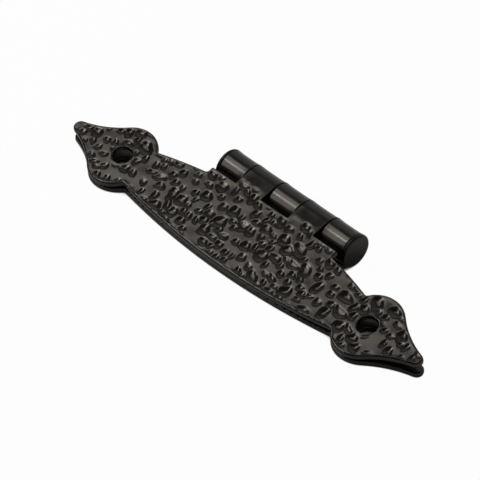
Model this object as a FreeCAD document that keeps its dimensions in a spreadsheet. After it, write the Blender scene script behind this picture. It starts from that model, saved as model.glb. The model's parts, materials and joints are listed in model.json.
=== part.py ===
import FreeCAD, Part
import math
import os
import Sketcher

# H hinge: two bow-shaped leaves with spade ends, folded back to back about one pin.
# The lower leaf lies flat on its hammered face and the upper leaf leans down onto it.
# X runs along the pin, Y from the bow edge towards the barrel, Z up from the table.

doc = FreeCAD.newDocument("h_hinge")

# Driving sizes in millimetres and degrees
driving_sizes = [
    ("leaf_thickness", 1.35),
    ("pin_radius", 2.6),
    ("pin_clearance", 0.05),
    ("curl_lap_angle", 36),
    ("inner_split", 4),
    ("outer_split", 12.1),
    ("knuckle_end", 19.2),
    ("knuckle_gap", 0.25),
    ("notch_reach", 4.4),
    ("root_lap", 1),
    ("cut_margin", 1),
    ("shoulder_half", 19.4),
    ("inner_edge_reach", 4.5),
    ("inner_edge_radius", 117),
    ("leaf_reach", 23),
    ("bow_radius", 178),
    ("hole_spacing", 76.2),
    ("hole_line", 14.6),
    ("hole_diameter", 4.8),
    ("lobe_offset", 1.7),
    ("lobe_radius", 6.9),
    ("flank_radius", 24),
    ("tip_centre", 14),
    ("tip_radius", 1.6),
    ("neck_rounding", 0.6),
    ("edge_bevel", 0.3),
    ("fold_gap", 0.06),
    ("cap_thickness", 0.9),
    ("cap_rounding", 0.35),
    ("spigot_length", 3),
    ("spigot_clearance", 0.01),
    ("pin_end_gap", 0.1),
]

sheet = doc.addObject("Spreadsheet::Sheet", "sizes")
for row, (alias, number) in enumerate(driving_sizes, start=1):
    sheet.set("A%d" % row, alias)
    sheet.set("B%d" % row, str(number))
    sheet.setAlias("B%d" % row, alias)
doc.recompute()

size = dict(driving_sizes)

# Fits that follow from the shared sizes
bore_radius = "(sizes.pin_radius + sizes.pin_clearance)"
barrel_radius = "(%s + sizes.leaf_thickness)" % bore_radius
half_gap = "(sizes.knuckle_gap / 2)"
lobe_reach = "sizes.hole_line + sizes.lobe_offset + sizes.lobe_radius"
fold_reach = "max(sizes.leaf_reach; %s)" % lobe_reach
fold_rise = "(%s - sizes.fold_gap / 2)" % bore_radius
fold_square = "(%s ^ 2 + %s ^ 2)" % (fold_reach, fold_rise)
fold_cosine = "((%s ^ 2 - %s ^ 2) / %s)" % (fold_reach, fold_rise, fold_square)
fold_sine = "(2 * %s * %s / %s)" % (fold_rise, fold_reach, fold_square)
axis_y = "((%s * %s + %s * %s - %s) / 2)" % (
    fold_reach, fold_cosine, barrel_radius, fold_sine, barrel_radius)

bore_value = size["pin_radius"] + size["pin_clearance"]
barrel_value = bore_value + size["leaf_thickness"]
spigot_value = bore_value - size["spigot_clearance"]


def point(x, y):
    return FreeCAD.Vector(x, y, 0)


def add_sketch(body, name, role):
    plane = [item for item in body.Origin.OriginFeatures if item.Role == role][0]
    sketch = body.newObject("Sketcher::SketchObject", name)
    sketch.AttachmentSupport = [(plane, "")]
    sketch.MapMode = "FlatFace"
    return sketch


def bind(sketch, constraint, expression):
    index = sketch.addConstraint(constraint)
    sketch.setExpression("Constraints[%d]" % index, expression)


def join(sketch, first, first_end, second, second_end):
    sketch.addConstraint(Sketcher.Constraint("Coincident", first, first_end, second, second_end))


def line(sketch, start, end):
    return sketch.addGeometry(Part.LineSegment(start, end), False)


def arc(sketch, centre, start, end):
    # Runs anticlockwise from start to end
    first = start - centre
    last = end - centre
    circle = Part.Circle(centre, FreeCAD.Vector(0, 0, 1), first.Length)
    return sketch.addGeometry(
        Part.ArcOfCircle(circle, math.atan2(first.y, first.x), math.atan2(last.y, last.x)), False)


def meeting(first, first_radius, second, second_radius, side):
    # One of the two points shared by two circles, to the left (+1) or right (-1) of the line of centres
    across = second - first
    gap = across.Length
    along = (gap ** 2 + first_radius ** 2 - second_radius ** 2) / (2 * gap)
    height = math.sqrt(first_radius ** 2 - along ** 2)
    return first + across * (along / gap) + point(-across.y, across.x) * (side * height / gap)


def end_near(sketch, geometry, place):
    near = sketch.getPoint(geometry, 1).distanceToPoint(place)
    far = sketch.getPoint(geometry, 2).distanceToPoint(place)
    return 1 if near < far else 2


def place_x(sketch, geometry, end, value, expression):
    if value > 0:
        constraint = Sketcher.Constraint("DistanceX", -1, 1, geometry, end, value)
    else:
        constraint = Sketcher.Constraint("DistanceX", geometry, end, -1, 1, -value)
    bind(sketch, constraint, expression)


def place_y_below(sketch, geometry, end, value, expression):
    bind(sketch, Sketcher.Constraint("DistanceY", geometry, end, -1, 1, -value), expression)


def set_radius(sketch, geometry, name):
    bind(sketch, Sketcher.Constraint("Radius", geometry, size[name]), "sizes." + name)


def draw_leaf_end(sketch, way):
    # One end of the flat leaf, from the shoulder beside the barrel round the spade to the bow edge
    hole_y = -size["hole_line"]
    lobe_radius = size["lobe_radius"]
    tip_radius = size["tip_radius"]
    lobe_sum = lobe_radius + size["flank_radius"]
    tip_sum = tip_radius + size["flank_radius"]
    inner_middle = point(0, -(size["inner_edge_reach"] + size["inner_edge_radius"]))
    bow_middle = point(0, size["bow_radius"] - size["leaf_reach"])
    inner_lobe = point(way * size["hole_spacing"] / 2, hole_y + size["lobe_offset"])
    outer_lobe = point(inner_lobe.x, hole_y - size["lobe_offset"])
    tip_middle = point(inner_lobe.x + way * size["tip_centre"], hole_y)
    flank_middle = meeting(inner_lobe, lobe_sum, tip_middle, tip_sum, way)
    far_middle = point(flank_middle.x, 2 * hole_y - flank_middle.y)
    shoulder = point(way * size["shoulder_half"], -size["notch_reach"])
    step_drop = math.sqrt(size["inner_edge_radius"] ** 2 - size["shoulder_half"] ** 2)
    step = point(shoulder.x, inner_middle.y + step_drop)
    neck_in = meeting(inner_middle, size["inner_edge_radius"], inner_lobe, lobe_radius, way)
    flank_in = inner_lobe + (flank_middle - inner_lobe) * (lobe_radius / lobe_sum)
    tip_in = tip_middle + (flank_middle - tip_middle) * (tip_radius / tip_sum)
    tip_out = point(tip_in.x, 2 * hole_y - tip_in.y)
    flank_out = point(flank_in.x, 2 * hole_y - flank_in.y)
    neck_out = meeting(bow_middle, size["bow_radius"], outer_lobe, lobe_radius, -way)

    def sweep(centre, start, end):
        return arc(sketch, centre, start, end) if way > 0 else arc(sketch, centre, end, start)

    shelf = line(sketch, shoulder, step)
    inner = sweep(inner_middle, neck_in, step)
    lobe_in = sweep(inner_lobe, flank_in, neck_in)
    flank = sweep(flank_middle, flank_in, tip_in)
    nose = sweep(tip_middle, tip_out, tip_in)
    far_flank = sweep(far_middle, tip_out, flank_out)
    lobe_out = sweep(outer_lobe, neck_out, flank_out)
    for kind, first, second, place in (
            ("Coincident", shelf, inner, step), ("Coincident", inner, lobe_in, neck_in),
            ("Tangent", lobe_in, flank, flank_in), ("Tangent", flank, nose, tip_in),
            ("Tangent", nose, far_flank, tip_out), ("Tangent", far_flank, lobe_out, flank_out)):
        sketch.addConstraint(Sketcher.Constraint(
            kind, first, end_near(sketch, first, place), second, end_near(sketch, second, place)))
    sketch.addConstraint(Sketcher.Constraint("Vertical", shelf))
    sketch.addConstraint(Sketcher.Constraint("PointOnObject", inner, 3, -2))
    place_y_below(sketch, inner, 3, inner_middle.y, "sizes.inner_edge_reach + sizes.inner_edge_radius")
    set_radius(sketch, inner, "inner_edge_radius")
    for lobe, middle, y_expression in ((lobe_in, inner_lobe, "sizes.hole_line - sizes.lobe_offset"),
                                       (lobe_out, outer_lobe, "sizes.hole_line + sizes.lobe_offset")):
        place_x(sketch, lobe, 3, middle.x, "sizes.hole_spacing / 2")
        place_y_below(sketch, lobe, 3, middle.y, y_expression)
        set_radius(sketch, lobe, "lobe_radius")
    place_x(sketch, nose, 3, tip_middle.x, "sizes.hole_spacing / 2 + sizes.tip_centre")
    place_y_below(sketch, nose, 3, hole_y, "sizes.hole_line")
    set_radius(sketch, nose, "tip_radius")
    set_radius(sketch, flank, "flank_radius")
    set_radius(sketch, far_flank, "flank_radius")
    return shelf, lobe_out, [step, neck_in, neck_out]


def draw_leaf(sketch):
    # The flat leaf seen on its hammered face: bow edge towards -Y, barrel towards +Y
    hollow_corners = []
    shelves = {}
    lobes = {}
    necks = {}
    for way in (-1, 1):
        shelves[way], lobes[way], corners = draw_leaf_end(sketch, way)
        necks[way] = corners[-1]
        hollow_corners += corners
    shoulder = point(size["shoulder_half"], -size["notch_reach"])
    notch = line(sketch, point(-shoulder.x, shoulder.y), shoulder)
    bow_middle = point(0, size["bow_radius"] - size["leaf_reach"])
    bow = arc(sketch, bow_middle, necks[-1], necks[1])
    for way, end in ((-1, 1), (1, 2)):
        join(sketch, notch, end, shelves[way], 1)
        join(sketch, bow, end, lobes[way], end_near(sketch, lobes[way], necks[way]))
        place_x(sketch, notch, end, way * shoulder.x, "sizes.shoulder_half")
    sketch.addConstraint(Sketcher.Constraint("Horizontal", notch))
    place_y_below(sketch, notch, 1, shoulder.y, "sizes.notch_reach")
    sketch.addConstraint(Sketcher.Constraint("PointOnObject", bow, 3, -2))
    bind(sketch, Sketcher.Constraint("DistanceY", -1, 1, bow, 3, bow_middle.y),
         "sizes.bow_radius - sizes.leaf_reach")
    set_radius(sketch, bow, "bow_radius")
    return hollow_corners


def draw_curl(sketch):
    # Edge-on profile of a knuckle: the strip leaves the plate and curls over the pin towards its back
    lap = size["notch_reach"] + size["root_lap"]
    centre = point(0, barrel_value)
    turn = math.radians(size["curl_lap_angle"])
    lip_way = point(-math.cos(turn), -math.sin(turn))
    outer = arc(sketch, centre, point(0, 0), centre + lip_way * barrel_value)
    inner = arc(sketch, centre, point(0, size["leaf_thickness"]), centre + lip_way * bore_value)
    face = line(sketch, point(-lap, 0), point(0, 0))
    lip = line(sketch, sketch.getPoint(outer, 2), sketch.getPoint(inner, 2))
    back = line(sketch, point(0, size["leaf_thickness"]), point(-lap, size["leaf_thickness"]))
    root = line(sketch, point(-lap, size["leaf_thickness"]), point(-lap, 0))
    join(sketch, face, 2, outer, 1)
    join(sketch, outer, 2, lip, 1)
    join(sketch, lip, 2, inner, 2)
    join(sketch, inner, 1, back, 1)
    join(sketch, back, 2, root, 1)
    join(sketch, root, 2, face, 1)
    join(sketch, face, 2, -1, 1)
    join(sketch, inner, 3, outer, 3)
    sketch.addConstraint(Sketcher.Constraint("PointOnObject", outer, 3, -2))
    sketch.addConstraint(Sketcher.Constraint("PointOnObject", inner, 1, -2))
    sketch.addConstraint(Sketcher.Constraint("PointOnObject", outer, 3, lip))
    sketch.addConstraint(Sketcher.Constraint("Horizontal", face))
    sketch.addConstraint(Sketcher.Constraint("Horizontal", back))
    sketch.addConstraint(Sketcher.Constraint("Vertical", root))
    bind(sketch, Sketcher.Constraint("DistanceY", -1, 1, outer, 3, barrel_value), barrel_radius)
    bind(sketch, Sketcher.Constraint("DistanceY", -1, 1, inner, 1, size["leaf_thickness"]),
         "sizes.leaf_thickness")
    bind(sketch, Sketcher.Constraint("DistanceX", face, 1, face, 2, lap),
         "sizes.notch_reach + sizes.root_lap")
    index = sketch.addConstraint(Sketcher.Constraint("Angle", lip, turn))
    sketch.setExpression("Constraints[%d]" % index, "sizes.curl_lap_angle * 1 deg")


def draw_notch(sketch, start, start_expression, end, end_expression):
    # Room between two knuckles for a knuckle of the other leaf, or past the last one
    low = -size["notch_reach"]
    high = barrel_value + size["cut_margin"]
    corners = [point(start, low), point(end, low), point(end, high), point(start, high)]
    sides = [line(sketch, corners[i], corners[(i + 1) % 4]) for i in range(4)]
    for i in range(4):
        join(sketch, sides[i], 2, sides[(i + 1) % 4], 1)
    for i in (0, 2):
        sketch.addConstraint(Sketcher.Constraint("Horizontal", sides[i]))
        sketch.addConstraint(Sketcher.Constraint("Vertical", sides[i + 1]))
    bind(sketch, Sketcher.Constraint("DistanceY", sides[0], 1, -1, 1, -low), "sizes.notch_reach")
    bind(sketch, Sketcher.Constraint("DistanceY", -1, 1, sides[2], 1, high),
         barrel_radius + " + sizes.cut_margin")
    place_x(sketch, sides[3], 1, start, start_expression)
    place_x(sketch, sides[1], 1, end, end_expression)


def make_leaf(name, notches):
    body = doc.addObject("PartDesign::Body", name)
    body.Label = name
    outline = add_sketch(body, name + "_outline", "XY_Plane")
    hollow_corners = draw_leaf(outline)
    plate = body.newObject("PartDesign::Pad", name + "_plate")
    plate.Profile = outline
    plate.setExpression("Length", "sizes.leaf_thickness")
    doc.recompute()
    # Inside corners at the necks and beside the barrel keep the radius of the blanking tool
    inside = []
    for index, edge in enumerate(plate.Shape.Edges, start=1):
        foot = point(edge.BoundBox.Center.x, edge.BoundBox.Center.y)
        upright = edge.BoundBox.DiagonalLength - edge.BoundBox.ZLength < size["neck_rounding"] / 100
        nearest = min(foot.distanceToPoint(place) for place in hollow_corners)
        if upright and nearest < size["neck_rounding"] / 2:
            inside.append("Edge%d" % index)
    blank = body.newObject("PartDesign::Fillet", name + "_neck_rounding")
    blank.Base = (plate, inside)
    blank.setExpression("Radius", "sizes.neck_rounding")
    doc.recompute()
    # The plate's edge is broken all round on the hammered side
    rim = []
    for index, edge in enumerate(blank.Shape.Edges, start=1):
        if max(abs(edge.BoundBox.ZMin), abs(edge.BoundBox.ZMax)) < size["edge_bevel"] / 2:
            rim.append("Edge%d" % index)
    bevel = body.newObject("PartDesign::Chamfer", name + "_rim_bevel")
    bevel.Base = (blank, rim)
    bevel.setExpression("Size", "sizes.edge_bevel")
    doc.recompute()

    curl = add_sketch(body, name + "_curl", "YZ_Plane")
    draw_curl(curl)
    roll = body.newObject("PartDesign::Pad", name + "_roll")
    roll.Profile = curl
    roll.Midplane = True
    roll.setExpression("Length", "2 * sizes.knuckle_end")
    doc.recompute()

    gaps = add_sketch(body, name + "_notches", "XY_Plane")
    for notch in notches:
        draw_notch(gaps, *notch)
    slots = body.newObject("PartDesign::Pocket", name + "_slots")
    slots.Profile = gaps
    slots.Midplane = True
    slots.Type = "Length"
    slots.setExpression("Length", "6 * " + barrel_radius)
    doc.recompute()

    marks = add_sketch(body, name + "_hole_marks", "XY_Plane")
    for sign in (-1, 1):
        place = point(sign * size["hole_spacing"] / 2, -size["hole_line"])
        round_hole = Part.Circle(place, FreeCAD.Vector(0, 0, 1), size["hole_diameter"] / 2)
        hole = marks.addGeometry(round_hole, False)
        bind(marks, Sketcher.Constraint("Diameter", hole, size["hole_diameter"]), "sizes.hole_diameter")
        place_x(marks, hole, 3, place.x, "sizes.hole_spacing / 2")
        place_y_below(marks, hole, 3, place.y, "sizes.hole_line")
    holes = body.newObject("PartDesign::Pocket", name + "_screw_holes")
    holes.Profile = marks
    holes.Midplane = True
    holes.Type = "Length"
    holes.setExpression("Length", "6 * sizes.leaf_thickness")
    doc.recompute()
    return body


lower_leaf = make_leaf("lower_leaf", [
    (size["inner_split"] - size["knuckle_gap"] / 2, "sizes.inner_split - " + half_gap,
     size["outer_split"] + size["knuckle_gap"] / 2, "sizes.outer_split + " + half_gap),
    (-size["outer_split"] - size["knuckle_gap"] / 2, "sizes.outer_split + " + half_gap,
     -size["inner_split"] + size["knuckle_gap"] / 2, "sizes.inner_split - " + half_gap),
])
lower_leaf.setExpression("Placement.Base.y", axis_y)

upper_leaf = make_leaf("upper_leaf", [
    (-size["inner_split"] - size["knuckle_gap"] / 2, "sizes.inner_split + " + half_gap,
     size["inner_split"] + size["knuckle_gap"] / 2, "sizes.inner_split + " + half_gap),
    (size["outer_split"] - size["knuckle_gap"] / 2, "sizes.outer_split - " + half_gap,
     size["knuckle_end"] + size["cut_margin"], "sizes.knuckle_end + sizes.cut_margin"),
    (-size["knuckle_end"] - size["cut_margin"], "sizes.knuckle_end + sizes.cut_margin",
     -size["outer_split"] + size["knuckle_gap"] / 2, "sizes.outer_split - " + half_gap),
])
# The upper leaf is the lower one turned half round a line through the pin, midway between the two
upper_leaf.setExpression(
    "Placement", "placement(vector(0; %s - %s * %s; %s * (1 + %s)); rotation(vector(0; %s; %s); 180))" % (
        axis_y, barrel_radius, fold_sine, barrel_radius, fold_cosine, fold_reach, fold_rise))

# Pin between the spigots of the two end caps
hinge_pin = doc.addObject("Part::Cylinder", "hinge_pin")
hinge_pin.Label = "hinge_pin"
hinge_pin.setExpression("Radius", "sizes.pin_radius")
pin_half = "(sizes.knuckle_end - sizes.spigot_length - sizes.pin_end_gap)"
hinge_pin.setExpression("Height", "2 * " + pin_half)
hinge_pin.setExpression(
    "Placement", "placement(vector(-%s; %s; %s); rotation(vector(0; 1; 0); 90))" % (
        pin_half, axis_y, barrel_radius))


def make_cap(name):
    # Flat disc as wide as the barrel, with a rounded rim and a spigot that presses into the knuckle
    body = doc.addObject("PartDesign::Body", name)
    body.Label = name
    sketch = add_sketch(body, name + "_profile", "XY_Plane")
    corners = [
        point(-size["spigot_length"], 0),
        point(size["cap_thickness"], 0),
        point(size["cap_thickness"], barrel_value),
        point(0, barrel_value),
        point(0, spigot_value),
        point(-size["spigot_length"], spigot_value),
    ]
    count = len(corners)
    sides = [line(sketch, corners[i], corners[(i + 1) % count]) for i in range(count)]
    for i in range(count):
        join(sketch, sides[i], 2, sides[(i + 1) % count], 1)
    for i in range(0, count, 2):
        sketch.addConstraint(Sketcher.Constraint("Horizontal", sides[i]))
        sketch.addConstraint(Sketcher.Constraint("Vertical", sides[i + 1]))
    sketch.addConstraint(Sketcher.Constraint("PointOnObject", sides[0], 1, -1))
    sketch.addConstraint(Sketcher.Constraint("PointOnObject", sides[3], 1, -2))
    bind(sketch, Sketcher.Constraint("DistanceX", sides[0], 1, -1, 1, size["spigot_length"]),
         "sizes.spigot_length")
    bind(sketch, Sketcher.Constraint("DistanceX", -1, 1, sides[0], 2, size["cap_thickness"]),
         "sizes.cap_thickness")
    bind(sketch, Sketcher.Constraint("DistanceY", -1, 1, sides[2], 1, barrel_value), barrel_radius)
    bind(sketch, Sketcher.Constraint("DistanceY", -1, 1, sides[4], 1, spigot_value),
         bore_radius + " - sizes.spigot_clearance")
    disc = body.newObject("PartDesign::Revolution", name + "_disc")
    disc.Profile = sketch
    disc.ReferenceAxis = (sketch, ["H_Axis"])
    disc.Angle = 360
    doc.recompute()
    rim = []
    for index, edge in enumerate(disc.Shape.Edges, start=1):
        box = edge.BoundBox
        if box.XMin > size["cap_thickness"] - 0.001 and box.YLength > barrel_value:
            rim.append("Edge%d" % index)
    rounding = body.newObject("PartDesign::Fillet", name + "_rounded_rim")
    rounding.Base = (disc, rim)
    rounding.setExpression("Radius", "sizes.cap_rounding")
    doc.recompute()
    return body


right_cap = make_cap("right_end_cap")
right_cap.setExpression(
    "Placement", "placement(vector(sizes.knuckle_end; %s; %s); rotation(vector(0; 0; 1); 0))" % (
        axis_y, barrel_radius))
left_cap = make_cap("left_end_cap")
left_cap.setExpression(
    "Placement", "placement(vector(-sizes.knuckle_end; %s; %s); rotation(vector(0; 0; 1); 180))" % (
        axis_y, barrel_radius))

doc.recompute()

subparts = [lower_leaf, upper_leaf, hinge_pin, right_cap, left_cap]
for item in doc.Objects:
    if "Invalid" in item.State or "Error" in item.State:
        raise RuntimeError("%s did not compute" % item.Name)
for item in subparts:
    if item.Shape.isNull() or not item.Shape.isValid():
        raise RuntimeError("%s has no valid shape" % item.Label)

os.makedirs("parts", exist_ok=True)
for item in subparts:
    item.Shape.exportStep("parts/%s.step" % item.Label)
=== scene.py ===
import json
import math

import bmesh
import bpy
import numpy as np
from mathutils import Matrix, Vector
from mathutils.kdtree import KDTree


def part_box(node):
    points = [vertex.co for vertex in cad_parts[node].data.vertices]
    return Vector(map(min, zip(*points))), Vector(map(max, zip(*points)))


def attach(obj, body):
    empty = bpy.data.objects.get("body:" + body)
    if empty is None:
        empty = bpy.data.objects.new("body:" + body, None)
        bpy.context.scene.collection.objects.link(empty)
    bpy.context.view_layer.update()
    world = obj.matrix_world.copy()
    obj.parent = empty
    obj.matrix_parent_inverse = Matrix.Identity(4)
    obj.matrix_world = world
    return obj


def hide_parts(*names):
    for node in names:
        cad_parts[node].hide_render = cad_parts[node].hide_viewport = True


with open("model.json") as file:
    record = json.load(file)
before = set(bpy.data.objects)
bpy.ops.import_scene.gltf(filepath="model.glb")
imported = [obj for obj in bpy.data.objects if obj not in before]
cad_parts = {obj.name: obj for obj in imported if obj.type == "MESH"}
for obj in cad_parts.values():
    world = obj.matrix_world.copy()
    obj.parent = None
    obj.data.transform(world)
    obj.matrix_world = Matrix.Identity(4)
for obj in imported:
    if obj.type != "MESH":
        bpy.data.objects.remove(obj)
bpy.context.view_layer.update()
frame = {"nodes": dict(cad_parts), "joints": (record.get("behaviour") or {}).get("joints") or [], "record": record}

bl_info = {
    "name": "Hammered H hinge",
    "version": (1, 0, 0),
    "blender": (4, 5, 0),
    "location": "3D View > Sidebar > Hinge",
    "description": "Dresses a folded H hinge: hammered leaves, capped barrel and its studio",
    "category": "Object",
}

PIN_POINT = Vector(frame["joints"][0]["pos_m"])
BARREL_RADIUS = PIN_POINT.z
UPPER_SCREWS = next(mount for mount in frame["record"]["mounts"] if mount["name"] == "upper_leaf_screws")
FOLD_NORMAL = Vector(UPPER_SCREWS["axis"])
PLATE_THICKNESS = 0.00135
KNUCKLE_EDGES = (-0.0192, -0.0121, -0.004, 0.004, 0.0121, 0.0192)
TO_MM = 1000.0

# Which places of a leaf are the rolled barrel, the flat outer face and the cut rim, in millimetres
WELD = 0.0005
ROLL_SLACK, ROLL_CLEAR = 0.08, 0.25
FLAT_SLACK, FLAT_FACING = 0.06, -0.97
OUTER_FACING, OUTER_FADE, OUTER_HEIGHT = 0.25, 0.6, 0.6
RIM_FACING, RIM_HEIGHT, RIM_REACH = 0.5, 0.7, 3.0

# Where the relief begins and how softly, in millimetres from the pin or in from the rim
STRIP_END, STRIP_FADE = 3.6, 4.2
MARKS_START, MARKS_FADE = 2.6, 1.2
RIM_MARGIN, RIM_FADE = 0.25, 0.9
RIPPLE, WAVE_PEAK = 0.03, 1.95

# How one hammer mark differs from the next
MARK_SIZE_BIAS = 1.5
MARK_STRETCH = (0.95, 1.4)
MARK_ANGLE, MARK_TURN = math.radians(136.0), 1.1
MARK_LEAN = (0.6, 1.25)
MARK_BANK = (0.85, 1.0)
MARK_LOBES = 0.07
MARK_SPAN = 1.6
MARK_WOBBLE = 0.1
ROOM_SWING = 0.12

CAP_SIDES = 128
CAP_RIM_STEPS = 5
CAP_INSET = 0.0004

# Floor: how open a place has to be to look white, and how much of that white the paint mirrors
FLOOR_HALF = 2.5
FLOOR_DROP = 0.00002
FLOOR_REACH = 0.012
FLOOR_SHADOW = (0.22, 0.4)
FLOOR_WHITE = 0.975
FLOOR_OPEN = 0.8
FLOOR_MIRRORED = 0.3

# Walls: brightness from the front of the room to its back, and a paler wall on the right
WALL_STEPS = ((0.0, 0.07), (0.55, 0.1), (0.68, 0.16), (0.8, 0.5), (1.0, 0.46))
WALL_TINT = (1.0, 0.94, 0.88)
SIDE_WALL = (0.4, 0.376, 0.352, 1.0)
SIDE_SPREAD = (0.15, 0.9)

# Soft box over the barrel: each row's near and far end, width and how bright it looks
BOX_LEAN = math.radians(20.0)
BOX_HEIGHT = 0.353
BOX_ASIDE = -0.235
BOX_COLOUR = (1.0, 0.915, 0.83)
BOX_ROWS = (
    ("soft_box_back", -0.212, -0.15, 0.36, 2.4),
    ("soft_box_top", -0.15, -0.012, 0.18, 2.85),
    ("soft_box_tube", -0.012, 0.03, 0.18, 10.8),
    ("soft_box_front", 0.03, 0.29, 0.18, 2.2),
)

# Camera: where it stands, and where the pin's middle falls in the square frame, in pixels
AZIMUTH, ELEVATION = math.radians(46.0), math.radians(42.14)
SENSOR, LENS = 36.0, 252.2
FRAME_SIDE = 480.0
PIXELS_PER_METRE = 4574.0
PIN_IN_FRAME = (291.1, 207.45)


class HingeLeafSettings(bpy.types.PropertyGroup):
    """Sizes of the hammered relief on the leaves"""
    mesh_step: bpy.props.FloatProperty(
        name="Mesh step", description="Edge length of the leaf's fine mesh",
        default=0.00023, min=0.0001, unit="LENGTH", precision=5)
    tries: bpy.props.IntProperty(
        name="Blows", description="How many blows are tried before the face is full",
        default=3500, min=0)
    crowding: bpy.props.FloatProperty(
        name="Crowding", description="Least distance of two marks as a share of their radii",
        default=0.74, min=0.2, max=2.0)
    dent_small: bpy.props.FloatProperty(
        name="Smallest dent", description="Radius of the smallest hammer marks",
        default=0.001, min=0.0001, unit="LENGTH", precision=5)
    dent_large: bpy.props.FloatProperty(
        name="Largest dent", description="Radius of the largest hammer marks",
        default=0.0021, min=0.0002, unit="LENGTH", precision=5)
    dent_slope: bpy.props.FloatProperty(
        name="Dent slope", description="Depth of a mark as a share of its radius",
        default=0.34, min=0.0, max=1.0)
    dent_depth: bpy.props.FloatProperty(
        name="Deepest dent", description="Depth that no hammer mark passes",
        default=0.0005, min=0.00005, unit="LENGTH", precision=5)
    plateau: bpy.props.FloatProperty(
        name="Plateau", description="Level above which patches stay flat",
        default=1.25, min=-2.0, max=2.0)
    waist: bpy.props.FloatProperty(
        name="Waist", description="How much slimmer a knuckle is at its middle than at its ends",
        default=0.000125, min=0.0, unit="LENGTH", precision=5)
    seed: bpy.props.IntProperty(
        name="Seed", description="Start of the hammer marks' pattern", default=7, min=0)


class HingeCapSettings(bpy.types.PropertyGroup):
    """Sizes of the barrel's end caps"""
    thickness: bpy.props.FloatProperty(
        name="Thickness", description="How far a cap stands out of its knuckle",
        default=0.0009, min=0.0001, unit="LENGTH", precision=5)
    rim: bpy.props.FloatProperty(
        name="Rim rounding", description="Radius of the outer rim",
        default=0.0005, min=0.0, unit="LENGTH", precision=5)
    seat: bpy.props.FloatProperty(
        name="Seat rounding", description="Radius of the rim next to the knuckle",
        default=0.0003, min=0.0, unit="LENGTH", precision=5)


class HingeFinishSettings(bpy.types.PropertyGroup):
    """Colours of the paint, the pin and the studio"""
    paint: bpy.props.FloatVectorProperty(
        name="Paint", description="Black paint", subtype="COLOR", size=3,
        default=(0.0036, 0.0033, 0.003), min=0.0, max=1.0)
    steel: bpy.props.FloatVectorProperty(
        name="Steel", description="Bare pin", subtype="COLOR", size=3,
        default=(0.45, 0.45, 0.46), min=0.0, max=1.0)
    floor: bpy.props.FloatVectorProperty(
        name="Floor", description="Pale studio floor", subtype="COLOR", size=3,
        default=(0.75, 0.75, 0.75), min=0.0, max=1.0)


class HingeSettings(bpy.types.PropertyGroup):
    """Everything a user may change"""
    leaf: bpy.props.PointerProperty(type=HingeLeafSettings)
    cap: bpy.props.PointerProperty(type=HingeCapSettings)
    finish: bpy.props.PointerProperty(type=HingeFinishSettings)


def socket(group, name, kind, way, default=None):
    made = group.interface.new_socket(name=name, in_out=way, socket_type=kind)
    if default is not None:
        made.default_value = default


def paint_skin_group():
    # Slow change of gloss and a faint orange-peel, as in sprayed and baked paint
    name = "paint_skin"
    if name in bpy.data.node_groups:
        return bpy.data.node_groups[name]
    group = bpy.data.node_groups.new(name, "ShaderNodeTree")
    socket(group, "Vector", "NodeSocketVector", "INPUT")
    socket(group, "Gloss Low", "NodeSocketFloat", "INPUT", 0.18)
    socket(group, "Gloss High", "NodeSocketFloat", "INPUT", 0.3)
    socket(group, "Grain", "NodeSocketFloat", "INPUT", 1600.0)
    socket(group, "Roughness", "NodeSocketFloat", "OUTPUT")
    socket(group, "Height", "NodeSocketFloat", "OUTPUT")
    nodes, links = group.nodes, group.links
    start = nodes.new("NodeGroupInput")
    end = nodes.new("NodeGroupOutput")
    cloud = nodes.new("ShaderNodeTexNoise")
    cloud.inputs["Scale"].default_value = 260.0
    cloud.inputs["Detail"].default_value = 3.0
    spread = nodes.new("ShaderNodeMapRange")
    spread.inputs["From Min"].default_value = 0.35
    spread.inputs["From Max"].default_value = 0.65
    peel = nodes.new("ShaderNodeTexNoise")
    peel.inputs["Detail"].default_value = 1.0
    links.new(start.outputs["Vector"], cloud.inputs["Vector"])
    links.new(start.outputs["Vector"], peel.inputs["Vector"])
    links.new(start.outputs["Grain"], peel.inputs["Scale"])
    links.new(cloud.outputs["Fac"], spread.inputs["Value"])
    links.new(start.outputs["Gloss Low"], spread.inputs["To Min"])
    links.new(start.outputs["Gloss High"], spread.inputs["To Max"])
    links.new(spread.outputs["Result"], end.inputs["Roughness"])
    links.new(peel.outputs["Fac"], end.inputs["Height"])
    return group


def new_material(name):
    material = bpy.data.materials.new(name)
    material.use_nodes = True
    shader = material.node_tree.nodes["Principled BSDF"]
    return material, material.node_tree, shader


def solid(colour, share=1.0):
    return tuple(share * part for part in colour) + (1.0,)


def add_skin(tree, shader, low, high, grain, bump):
    where = tree.nodes.new("ShaderNodeTexCoord")
    skin = tree.nodes.new("ShaderNodeGroup")
    skin.node_tree = paint_skin_group()
    skin.inputs["Gloss Low"].default_value = low
    skin.inputs["Gloss High"].default_value = high
    skin.inputs["Grain"].default_value = grain
    lift = tree.nodes.new("ShaderNodeBump")
    lift.inputs["Strength"].default_value = bump
    lift.inputs["Distance"].default_value = 0.00002
    tree.links.new(where.outputs["Object"], skin.inputs["Vector"])
    tree.links.new(skin.outputs["Roughness"], shader.inputs["Roughness"])
    tree.links.new(skin.outputs["Height"], lift.inputs["Height"])
    tree.links.new(lift.outputs["Normal"], shader.inputs["Normal"])
    return where, skin


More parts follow.
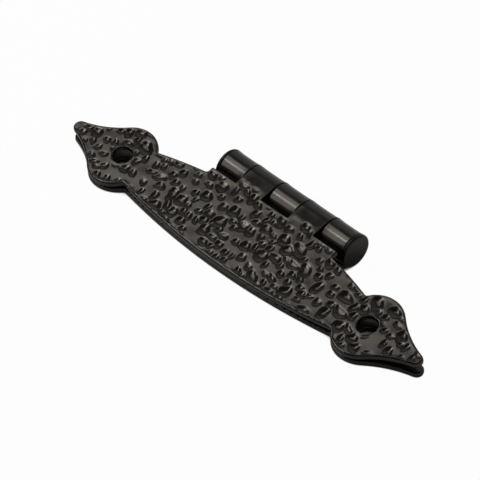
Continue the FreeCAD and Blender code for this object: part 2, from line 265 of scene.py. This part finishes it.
def hammered_paint(finish):
    # Gloss black with painted shade in the hammer marks: the base colour is darkened there, so the marks stay
    # darker than the flats between them
    material, tree, shader = new_material("hammered_black_paint")
    add_skin(tree, shader, low=0.16, high=0.24, grain=2200.0, bump=0.2)
    shader.inputs["Specular IOR Level"].default_value = 0.5
    mark_shade = tree.nodes.new("ShaderNodeAttribute")
    mark_shade.attribute_name = "hammer_mark_shade"
    # Painted shade: the paint colour drops to 0.55 of itself where the hammer-mark mask is full
    tone = tree.nodes.new("ShaderNodeMix")
    tone.data_type = "RGBA"
    tone.inputs["A"].default_value = solid(finish.paint)
    tone.inputs["B"].default_value = solid(finish.paint, share=0.55)
    tree.links.new(mark_shade.outputs["Fac"], tone.inputs["Factor"])
    tree.links.new(tone.outputs["Result"], shader.inputs["Base Color"])
    return material


def smooth_paint(finish):
    # The same black on the plain caps, a little less bright in its gloss
    material, tree, shader = new_material("smooth_black_paint")
    add_skin(tree, shader, low=0.16, high=0.26, grain=1800.0, bump=0.3)
    shader.inputs["Specular IOR Level"].default_value = 0.27
    shader.inputs["Base Color"].default_value = solid(finish.paint)
    return material


def drawn_steel(finish):
    # Bare wire with its grain drawn out along the pin
    material, tree, shader = new_material("drawn_pin_steel")
    where, skin = add_skin(tree, shader, low=0.28, high=0.42, grain=900.0, bump=0.2)
    stretch = tree.nodes.new("ShaderNodeMapping")
    stretch.inputs["Scale"].default_value = (0.05, 1.0, 1.0)
    tree.links.new(where.outputs["Object"], stretch.inputs["Vector"])
    tree.links.new(stretch.outputs["Vector"], skin.inputs["Vector"])
    shader.inputs["Base Color"].default_value = solid(finish.steel)
    shader.inputs["Metallic"].default_value = 1.0
    return material


def piece_from(name, mesh, body, node, material):
    piece = bpy.data.objects.new(name, mesh)
    bpy.context.scene.collection.objects.link(piece)
    mesh.materials.clear()
    mesh.materials.append(material)
    mesh.shade_smooth()
    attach(piece, body)
    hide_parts(node)


def leaf_frame(node):
    # World to the leaf's own frame in millimetres: hammered face on z = 0, plate above it, pin along X
    down = Matrix.Translation((0.0, -PIN_POINT.y, 0.0))
    if node == "upper_leaf":
        half_way = (FOLD_NORMAL + Vector((0.0, 0.0, -1.0))).normalized()
        turn = Matrix.Rotation(math.pi, 4, half_way)
        down = down @ Matrix.Translation(PIN_POINT) @ turn @ Matrix.Translation(-PIN_POINT)
    return Matrix.Scale(TO_MM, 4) @ down


def fine_mesh(node, to_leaf, step):
    # The CAD leaf, welded and rebuilt as an even fine mesh that can take the relief
    rough = frame["nodes"][node].data.copy()
    rough.transform(to_leaf)
    form = bmesh.new()
    form.from_mesh(rough)
    bmesh.ops.remove_doubles(form, verts=form.verts, dist=WELD)
    form.to_mesh(rough)
    form.free()
    blank = bpy.data.objects.new("blank_" + node, rough)
    bpy.context.scene.collection.objects.link(blank)
    even = blank.modifiers.new("even", "REMESH")
    even.mode = "VOXEL"
    even.voxel_size = step * TO_MM
    even.adaptivity = 0.0
    bpy.context.view_layer.update()
    depsgraph = bpy.context.evaluated_depsgraph_get()
    mesh = bpy.data.meshes.new_from_object(blank.evaluated_get(depsgraph))
    bpy.data.objects.remove(blank)
    bpy.data.meshes.remove(rough)
    return mesh


def eased(share):
    # A soft start and a soft end for a change from 0 to 1
    return share * share * (3.0 - 2.0 * share)


def wave(across, along):
    # A slow uneven swell over the leaf, between minus and plus WAVE_PEAK
    return (np.sin(0.33 * across + 1.3) * np.sin(0.51 * along + 0.4)
            + 0.6 * np.sin(0.19 * across - 0.43 * along + 2.1)
            + 0.35 * np.sin(0.71 * across + 0.37 * along))


def wobble(across, along):
    # Small bends, so that no mark keeps the outline of a true oval
    bent_across = across + MARK_WOBBLE * np.sin(2.1 * along + 0.9 * np.sin(1.3 * across))
    bent_along = along + MARK_WOBBLE * np.sin(2.3 * across + 1.1 * np.sin(1.7 * along))
    return bent_across, bent_along


def hammer_depth(across, along, leaf):
    # Depth in millimetres of oval hammer marks, scattered so that they crowd but seldom run together
    chance = np.random.default_rng(leaf.seed)
    across, along = wobble(across, along)
    small = leaf.dent_small * TO_MM
    large = leaf.dent_large * TO_MM
    depth = np.zeros_like(across)
    marks = np.empty((0, 3))
    for _ in range(leaf.tries):
        middle = chance.uniform(across.min() - large, across.max() + large)
        level = chance.uniform(along.min() - large, along.max() + large)
        radius = small + (large - small) * chance.random() ** MARK_SIZE_BIAS
        stretch = chance.uniform(*MARK_STRETCH)
        angle = MARK_ANGLE + chance.uniform(-MARK_TURN, MARK_TURN)
        lean = chance.uniform(*MARK_LEAN)
        lobes = chance.uniform(0.0, 2.0 * math.pi)
        bank = chance.uniform(*MARK_BANK)
        apart = np.hypot(marks[:, 0] - middle, marks[:, 1] - level)
        room = leaf.crowding * (1.0 + ROOM_SWING * wave(0.6 * middle + 3.0, 0.8 * level))
        if wave(middle, level) > leaf.plateau or np.any(apart < room * (radius + marks[:, 2])):
            continue
        marks = np.vstack((marks, (middle, level, radius)))
        span = MARK_SPAN * radius
        near = np.nonzero((abs(across - middle) < span) & (abs(along - level) < span))[0]
        right = across[near] - middle
        up = along[near] - level
        first = (right * math.cos(angle) + up * math.sin(angle)) / (radius * stretch)
        second = (up * math.cos(angle) - right * math.sin(angle)) / (radius / stretch)
        outline = 1.0 + MARK_LOBES * np.sin(3.0 * np.arctan2(second, first) + lobes)
        wall = np.clip((1.0 - np.hypot(first, second) * outline) / bank, 0.0, 1.0)
        pit = bank * leaf.dent_slope * radius * lean * eased(wall)
        depth[near] = np.cbrt(depth[near] ** 3 + pit ** 3)
    deepest = leaf.dent_depth * TO_MM
    return deepest * np.tanh(depth / deepest)


def knuckle_of(along):
    # Middle and half length of the knuckle each place along the barrel lies on, in millimetres
    edges = np.array(KNUCKLE_EDGES) * TO_MM
    index = np.clip(np.searchsorted(edges, along) - 1, 0, len(edges) - 2)
    return (edges[index] + edges[index + 1]) / 2, (edges[index + 1] - edges[index]) / 2


def vertex_values(mesh, name):
    values = np.empty(len(mesh.vertices) * 3)
    mesh.vertices.foreach_get(name, values)
    return values.reshape(-1, 3)


def true_leaf(place, facing, waist):
    # Flattens the outer face and rounds the waisted knuckles; gives each place's reach from the pin
    barrel = BARREL_RADIUS * TO_MM
    clear = PLATE_THICKNESS * TO_MM + ROLL_CLEAR
    radius = np.hypot(place[:, 1], place[:, 2] - barrel)
    rolled = (abs(radius - barrel) < ROLL_SLACK) & ((place[:, 1] > 0.0) | (place[:, 2] > clear))
    front = (abs(place[:, 2]) < FLAT_SLACK) & (facing[:, 2] < FLAT_FACING) & (place[:, 1] <= 0.0)
    place[front, 2] = 0.0
    reach = -place[:, 1]
    middle, half = knuckle_of(place[:, 0])
    hollow = waist * np.clip(1.0 - (abs(place[:, 0] - middle) / half) ** 4, 0.0, 1.0)
    leaving = np.clip((STRIP_END - reach) / STRIP_FADE, 0.0, 1.0)
    hollow *= np.where(place[:, 2] < barrel, eased(leaving), 1.0)
    strip = front & (reach < STRIP_END)
    place[strip, 2] += hollow[strip]
    wanted = (barrel - hollow[rolled]) / radius[rolled]
    place[rolled, 1] *= wanted
    place[rolled, 2] = barrel + (place[rolled, 2] - barrel) * wanted
    return reach


def rim_inset(place, facing, reach, worked):
    # How far each worked place lies in from the leaf's cut rim
    cut = (abs(facing[:, 2]) < RIM_FACING) & (place[:, 2] < RIM_HEIGHT) & (reach > RIM_REACH)
    rim = np.nonzero(cut)[0]
    edge = KDTree(len(rim))
    for index in rim:
        edge.insert((place[index, 0], place[index, 1], 0.0), index)
    edge.balance()
    return np.array([edge.find((place[index, 0], place[index, 1], 0.0))[2] for index in worked])


def press_relief(mesh, leaf):
    # Trues the leaf, then presses the hammer marks and a faint ripple into its outer face
    place = vertex_values(mesh, "co")
    facing = vertex_values(mesh, "normal")
    reach = true_leaf(place, facing, leaf.waist * TO_MM)
    outer = np.clip((-facing[:, 2] - OUTER_FACING) / OUTER_FADE, 0.0, 1.0) * (place[:, 2] < OUTER_HEIGHT)
    fade = np.clip((reach - MARKS_START) / MARKS_FADE, 0.0, 1.0)
    worked = np.nonzero(outer * fade > 0.0)[0]
    inset = rim_inset(place, facing, reach, worked)
    fade[worked] *= np.clip((inset - RIM_MARGIN) / RIM_FADE, 0.0, 1.0)
    across, along = place[worked, 0], reach[worked]
    ripple = RIPPLE * (1.0 + np.clip(wave(1.9 * across, 2.1 * along) / WAVE_PEAK, -1.0, 1.0))
    depth = np.zeros(len(place))
    depth[worked] = hammer_depth(across, along, leaf) + ripple
    depth *= outer * fade
    place[:, 2] += depth
    mesh.vertices.foreach_set("co", place.ravel())
    # The mark depth is kept as the mask for the painted shade in the hammer marks
    mark_shade = mesh.attributes.new("hammer_mark_shade", "FLOAT", "POINT")
    mark_shade.data.foreach_set("value", np.clip(depth / (leaf.dent_depth * TO_MM), 0.0, 1.0))
    mesh.update()


class HINGE_OT_leaves(bpy.types.Operator):
    """Makes the two hammered leaves with their rolled knuckles"""
    bl_idname = "hinge.leaves"
    bl_label = "Hammered leaves"

    def execute(self, context):
        settings = context.scene.hinge
        paint = hammered_paint(settings.finish)
        for node in ("lower_leaf", "upper_leaf"):
            to_leaf = leaf_frame(node)
            mesh = fine_mesh(node, to_leaf, settings.leaf.mesh_step)
            if not len(mesh.vertices):
                raise RuntimeError("the %s has no mesh" % node)
            press_relief(mesh, settings.leaf)
            mesh.transform(to_leaf.inverted())
            mesh.name = node + "_hammered"
            piece_from(node + "_hammered", mesh, node, node, paint)
        return {"FINISHED"}


def cap_mesh(name, way, cap):
    # A flat disc with a rounded rim, raised out of a circle and bevelled
    form = bmesh.new()
    bmesh.ops.create_circle(form, cap_ends=True, radius=BARREL_RADIUS, segments=CAP_SIDES)
    raised = bmesh.ops.extrude_face_region(form, geom=list(form.faces))
    top = [item for item in raised["geom"] if isinstance(item, bmesh.types.BMVert)]
    bmesh.ops.translate(form, verts=top, vec=(0.0, 0.0, cap.thickness))
    bmesh.ops.recalc_face_normals(form, faces=form.faces)
    for height, width in ((cap.thickness, cap.rim), (0.0, cap.seat)):
        rim = [edge for edge in form.edges if all(abs(v.co.z - height) < 1e-7 for v in edge.verts)]
        bmesh.ops.bevel(form, geom=rim, offset=width, offset_type="OFFSET", segments=CAP_RIM_STEPS,
                        profile=0.5, affect="EDGES", material=-1)
    flats = [face for face in form.faces if len(face.verts) > 4]
    bmesh.ops.inset_individual(form, faces=flats, thickness=CAP_INSET, depth=0.0)
    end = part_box("right_end_cap")[1].x - cap.thickness
    seat = Matrix.Translation((way * end, PIN_POINT.y, PIN_POINT.z))
    turn = Matrix.Rotation(way * math.pi / 2, 4, "Y")
    bmesh.ops.transform(form, matrix=seat @ turn, verts=form.verts)
    mesh = bpy.data.meshes.new(name)
    form.to_mesh(mesh)
    form.free()
    return mesh


class HINGE_OT_caps(bpy.types.Operator):
    """Makes the two flat caps that close the barrel's ends"""
    bl_idname = "hinge.caps"
    bl_label = "End caps"

    def execute(self, context):
        settings = context.scene.hinge
        paint = smooth_paint(settings.finish)
        for node, way in (("left_end_cap", -1), ("right_end_cap", 1)):
            mesh = cap_mesh(node + "_disc", way, settings.cap)
            piece_from(node + "_disc", mesh, "lower_leaf", node, paint)
        return {"FINISHED"}


class HINGE_OT_pin(bpy.types.Operator):
    """Gives the pin inside the barrel its bare steel finish"""
    bl_idname = "hinge.pin"
    bl_label = "Pin finish"

    def execute(self, context):
        pin = frame["nodes"]["hinge_pin"]
        pin.data.materials.clear()
        pin.data.materials.append(drawn_steel(context.scene.hinge.finish))
        return {"FINISHED"}


def math_node(tree, operation):
    node = tree.nodes.new("ShaderNodeMath")
    node.operation = operation
    return node


def pale_floor(finish):
    # White to the camera but for the hinge's shadow, a little white to mirrors, and clear from below
    material, tree, shader = new_material("pale_floor")
    shader.inputs["Base Color"].default_value = solid(finish.floor)
    shader.inputs["Roughness"].default_value = 0.9
    nodes, links = tree.nodes, tree.links
    seen = nodes.new("ShaderNodeLightPath")
    openness = nodes.new("ShaderNodeAmbientOcclusion")
    openness.samples = 16
    openness.inputs["Distance"].default_value = FLOOR_REACH

    lit = nodes.new("ShaderNodeMapRange")
    lit.inputs["From Min"].default_value = FLOOR_SHADOW[0]
    lit.inputs["From Max"].default_value = FLOOR_SHADOW[1]
    lit.inputs["To Max"].default_value = FLOOR_WHITE
    direct = math_node(tree, "MULTIPLY")
    links.new(openness.outputs["AO"], lit.inputs["Value"])
    links.new(seen.outputs["Is Camera Ray"], direct.inputs[0])
    links.new(lit.outputs["Result"], direct.inputs[1])

    open_floor = nodes.new("ShaderNodeMapRange")
    open_floor.inputs["From Min"].default_value = FLOOR_OPEN
    open_floor.inputs["To Max"].default_value = FLOOR_MIRRORED
    mirrored = math_node(tree, "MAXIMUM")
    share = math_node(tree, "MULTIPLY_ADD")
    links.new(openness.outputs["AO"], open_floor.inputs["Value"])
    links.new(seen.outputs["Is Glossy Ray"], mirrored.inputs[0])
    links.new(seen.outputs["Is Transmission Ray"], mirrored.inputs[1])
    links.new(mirrored.outputs["Value"], share.inputs[0])
    links.new(open_floor.outputs["Result"], share.inputs[1])
    links.new(direct.outputs["Value"], share.inputs[2])

    white = nodes.new("ShaderNodeEmission")
    top_side = nodes.new("ShaderNodeMixShader")
    links.new(share.outputs["Value"], top_side.inputs["Fac"])
    links.new(shader.outputs["BSDF"], top_side.inputs[1])
    links.new(white.outputs["Emission"], top_side.inputs[2])

    side = nodes.new("ShaderNodeNewGeometry")
    clear = nodes.new("ShaderNodeBsdfTransparent")
    one_sided = nodes.new("ShaderNodeMixShader")
    links.new(side.outputs["Backfacing"], one_sided.inputs["Fac"])
    links.new(top_side.outputs["Shader"], one_sided.inputs[1])
    links.new(clear.outputs["BSDF"], one_sided.inputs[2])
    links.new(one_sided.outputs["Shader"], nodes["Material Output"].inputs["Surface"])
    return material


def lay_floor(scene):
    form = bmesh.new()
    bmesh.ops.create_grid(form, x_segments=1, y_segments=1, size=FLOOR_HALF)
    bmesh.ops.translate(form, verts=form.verts, vec=(0.0, 0.0, -FLOOR_DROP))
    sheet = bpy.data.meshes.new("floor")
    form.to_mesh(sheet)
    form.free()
    floor = bpy.data.objects.new("floor", sheet)
    scene.collection.objects.link(floor)
    sheet.materials.append(pale_floor(scene.hinge.finish))


def paint_walls(scene):
    # Surroundings: white where the camera looks past the hinge, a dim warm room in what the paint mirrors
    world = bpy.data.worlds.new("studio")
    world.use_nodes = True
    scene.world = world
    nodes, links = world.node_tree.nodes, world.node_tree.links
    toward = nodes.new("ShaderNodeTexCoord")
    parts = nodes.new("ShaderNodeSeparateXYZ")
    links.new(toward.outputs["Generated"], parts.inputs["Vector"])

    depth = nodes.new("ShaderNodeMapRange")
    depth.inputs["From Min"].default_value = -1.0
    walls = nodes.new("ShaderNodeValToRGB")
    stops = walls.color_ramp.elements
    for index, (spot, level) in enumerate(WALL_STEPS):
        stop = stops[index] if index < 2 else stops.new(spot)
        stop.position = spot
        stop.color = solid(WALL_TINT, share=level)
    links.new(parts.outputs["Y"], depth.inputs["Value"])
    links.new(depth.outputs["Result"], walls.inputs["Fac"])

    side = nodes.new("ShaderNodeMapRange")
    side.inputs["From Min"].default_value = SIDE_SPREAD[0]
    side.inputs["From Max"].default_value = SIDE_SPREAD[1]
    room = nodes.new("ShaderNodeMix")
    room.data_type = "RGBA"
    room.inputs["B"].default_value = SIDE_WALL
    links.new(parts.outputs["X"], side.inputs["Value"])
    links.new(side.outputs["Result"], room.inputs["Factor"])
    links.new(walls.outputs["Color"], room.inputs["A"])

    seen = nodes.new("ShaderNodeLightPath")
    tone = nodes.new("ShaderNodeMix")
    tone.data_type = "RGBA"
    tone.inputs["B"].default_value = (1.0, 1.0, 1.0, 1.0)
    links.new(seen.outputs["Is Camera Ray"], tone.inputs["Factor"])
    links.new(room.outputs["Result"], tone.inputs["A"])
    links.new(tone.outputs["Result"], nodes["Background"].inputs["Color"])


def hang_soft_box(scene):
    # Four rows that lean over the barrel; a row's power follows from how bright it looks
    normal = Vector((0.0, -math.sin(BOX_LEAN), math.cos(BOX_LEAN)))
    forward = Vector((0.0, -math.cos(BOX_LEAN), -math.sin(BOX_LEAN)))
    turn = Matrix((Vector((1.0, 0.0, 0.0)), -forward, normal)).transposed().to_4x4()
    for name, near, far, width, radiance in BOX_ROWS:
        data = bpy.data.lights.new(name, "AREA")
        data.shape = "RECTANGLE"
        data.size, data.size_y = width, far - near
        data.energy = radiance * math.pi * width * (far - near)
        data.color = BOX_COLOUR
        lamp = bpy.data.objects.new(name, data)
        above = PIN_POINT + normal * BOX_HEIGHT + forward * (near + far) / 2
        lamp.matrix_world = Matrix.Translation(above + Vector((BOX_ASIDE, 0.0, 0.0))) @ turn
        scene.collection.objects.link(lamp)


def set_camera(scene):
    data = bpy.data.cameras.new("camera")
    data.sensor_width = SENSOR
    data.lens = LENS
    data.clip_end = 20.0
    camera = bpy.data.objects.new("camera", data)
    level = math.cos(ELEVATION)
    away = Vector((math.sin(AZIMUTH) * level, -math.cos(AZIMUTH) * level, math.sin(ELEVATION)))
    right = Vector((math.cos(AZIMUTH), math.sin(AZIMUTH), 0.0))
    top = away.cross(right)
    pixels = LENS * FRAME_SIDE / SENSOR
    distance = pixels / PIXELS_PER_METRE
    aside = Vector([spot - FRAME_SIDE / 2 for spot in PIN_IN_FRAME]) * distance / pixels
    where = PIN_POINT + away * distance - right * aside.x + top * aside.y
    turn = Matrix((right, top, away)).transposed().to_4x4()
    camera.matrix_world = Matrix.Translation(where) @ turn
    scene.collection.objects.link(camera)
    scene.camera = camera


class HINGE_OT_stage(bpy.types.Operator):
    """Sets the pale floor, the soft box, the surroundings and the camera"""
    bl_idname = "hinge.stage"
    bl_label = "Studio"

    def execute(self, context):
        scene = context.scene
        lay_floor(scene)
        paint_walls(scene)
        hang_soft_box(scene)
        set_camera(scene)
        scene.view_settings.view_transform = "Standard"
        return {"FINISHED"}


class HINGE_PT_panel(bpy.types.Panel):
    """Lists the steps that dress the hinge"""
    bl_idname = "HINGE_PT_panel"
    bl_label = "Hammered H hinge"
    bl_space_type = "VIEW_3D"
    bl_region_type = "UI"
    bl_category = "Hinge"

    def draw(self, context):
        settings = context.scene.hinge
        for part in (settings.leaf, settings.cap, settings.finish):
            box = self.layout.box()
            for name in part.bl_rna.properties.keys():
                if name not in ("rna_type", "name"):
                    box.prop(part, name)
        for step in STEPS:
            self.layout.operator(step.bl_idname)


SETTINGS = (HingeLeafSettings, HingeCapSettings, HingeFinishSettings, HingeSettings)
STEPS = (HINGE_OT_leaves, HINGE_OT_caps, HINGE_OT_pin, HINGE_OT_stage)
CLASSES = SETTINGS + STEPS + (HINGE_PT_panel,)


def register():
    for item in CLASSES:
        bpy.utils.register_class(item)
    bpy.types.Scene.hinge = bpy.props.PointerProperty(type=HingeSettings)


def unregister():
    del bpy.types.Scene.hinge
    for item in reversed(CLASSES):
        bpy.utils.unregister_class(item)


def main():
    register()
    bpy.ops.hinge.leaves()
    bpy.ops.hinge.caps()
    bpy.ops.hinge.pin()
    bpy.ops.hinge.stage()


if __name__ == "__main__":
    main()
